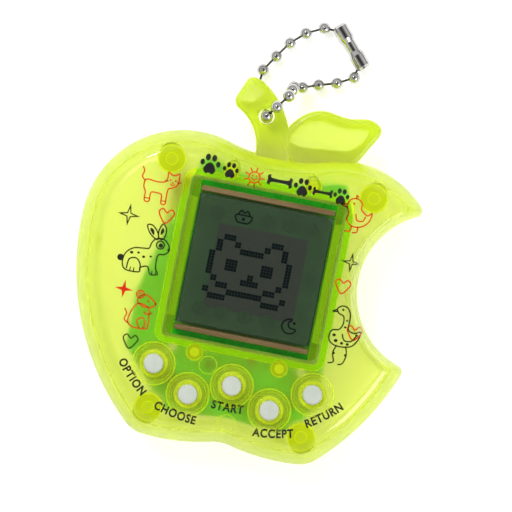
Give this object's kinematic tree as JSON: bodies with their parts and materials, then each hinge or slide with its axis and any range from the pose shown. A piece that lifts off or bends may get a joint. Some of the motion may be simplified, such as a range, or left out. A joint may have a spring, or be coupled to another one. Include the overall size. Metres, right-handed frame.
{
  "type": "virtual pet keychain",
  "caption": "Pocket virtual pet in a translucent apple-shaped case with a bite, square display, round keys and a ball chain through its stem.",
  "frame": {"origin": "on the flat back face, straight behind the centre of the screen", "axes": "+X right across the screen, +Y towards the stem, +Z out of the screen"},
  "size_m": [0.0662, 0.0857, 0.017],
  "materials": {
    "case": "translucent lime, polished",
    "window": "clear pane",
    "holder": "translucent green-yellow",
    "polariser": "dark grey-green film",
    "lcd_glass": "thin plain glass",
    "reflector": "matt foil",
    "zebra_rubber": "striped conducting rubber",
    "board": "green lacquered glass fibre",
    "carbon": "matt conducting carbon",
    "silicone": "white silicone",
    "mat_silicone": "milky silicone",
    "resin": "black potting resin",
    "screw_steel": "zinc plated",
    "can_steel": "nickel plated",
    "chip_ceramic": "tan ceramic",
    "resistor": "black coated",
    "contact_metal": "nickel plated spring strip",
    "brass": "rolled brass",
    "sounder_ceramic": "silvered ceramic",
    "chain_metal": "bright nickel plate"
  },
  "bodies": {
    "case": {"back_shell": "case", "battery_door": "case", "battery_door_screw": "screw_steel", "board_screws": "screw_steel", "case_screws": "screw_steel", "cell_bridge": "contact_metal", "cell_contact_left": "contact_metal", "cell_contact_right": "contact_metal", "cell_left": "can_steel", "cell_right": "can_steel", "chip_blob": "resin", "chip_capacitors": "chip_ceramic", "chip_resistors": "resistor", "front_polariser": "polariser", "front_shell": "case", "key_contact_pads": "carbon", "keypad_mat": "mat_silicone", "lcd_front_glass": "lcd_glass", "lcd_holder": "holder", "lcd_rear_glass": "lcd_glass", "lcd_reflector": "reflector", "main_board": "board", "screen_window": "window", "sounder_ceramic": "sounder_ceramic", "sounder_plate": "brass", "sounder_springs": "contact_metal", "timing_crystal": "can_steel", "zebra_strip_lower": "zebra_rubber", "zebra_strip_upper": "zebra_rubber"},
    "key_far_left_body": {"key_far_left": "silicone", "carbon_pill_far_left": "carbon"},
    "key_near_left_body": {"key_near_left": "silicone", "carbon_pill_near_left": "carbon"},
    "key_centre_body": {"key_centre": "silicone", "carbon_pill_centre": "carbon"},
    "key_near_right_body": {"key_near_right": "silicone", "carbon_pill_near_right": "carbon"},
    "key_far_right_body": {"key_far_right": "silicone", "carbon_pill_far_right": "carbon"},
    "ball_chain": {"chain_beads_front": "chain_metal", "chain_beads_rear": "chain_metal", "chain_links": "chain_metal", "chain_sleeve": "chain_metal"}
  },
  "joints": [
    {"name": "press_far_left", "type": "slide", "parent": "case", "child": "key_far_left_body", "axis": [0, 0, -1], "range_m": [0, 0.0008], "stiffness_N_per_m": 500, "springref_m": -0.0002},
    {"name": "press_near_left", "type": "slide", "parent": "case", "child": "key_near_left_body", "axis": [0, 0, -1], "range_m": [0, 0.0008], "stiffness_N_per_m": 500, "springref_m": -0.0002},
    {"name": "press_centre", "type": "slide", "parent": "case", "child": "key_centre_body", "axis": [0, 0, -1], "range_m": [0, 0.0008], "stiffness_N_per_m": 500, "springref_m": -0.0002},
    {"name": "press_near_right", "type": "slide", "parent": "case", "child": "key_near_right_body", "axis": [0, 0, -1], "range_m": [0, 0.0008], "stiffness_N_per_m": 500, "springref_m": -0.0002},
    {"name": "press_far_right", "type": "slide", "parent": "case", "child": "key_far_right_body", "axis": [0, 0, -1], "range_m": [0, 0.0008], "stiffness_N_per_m": 500, "springref_m": -0.0002},
    {"name": "chain_swing", "type": "hinge", "parent": "case", "child": "ball_chain", "pos_m": [-0.0035, 0.0293, 0.008], "axis": [0, 0, 1], "range_deg": [-25, 30]}
  ]
}
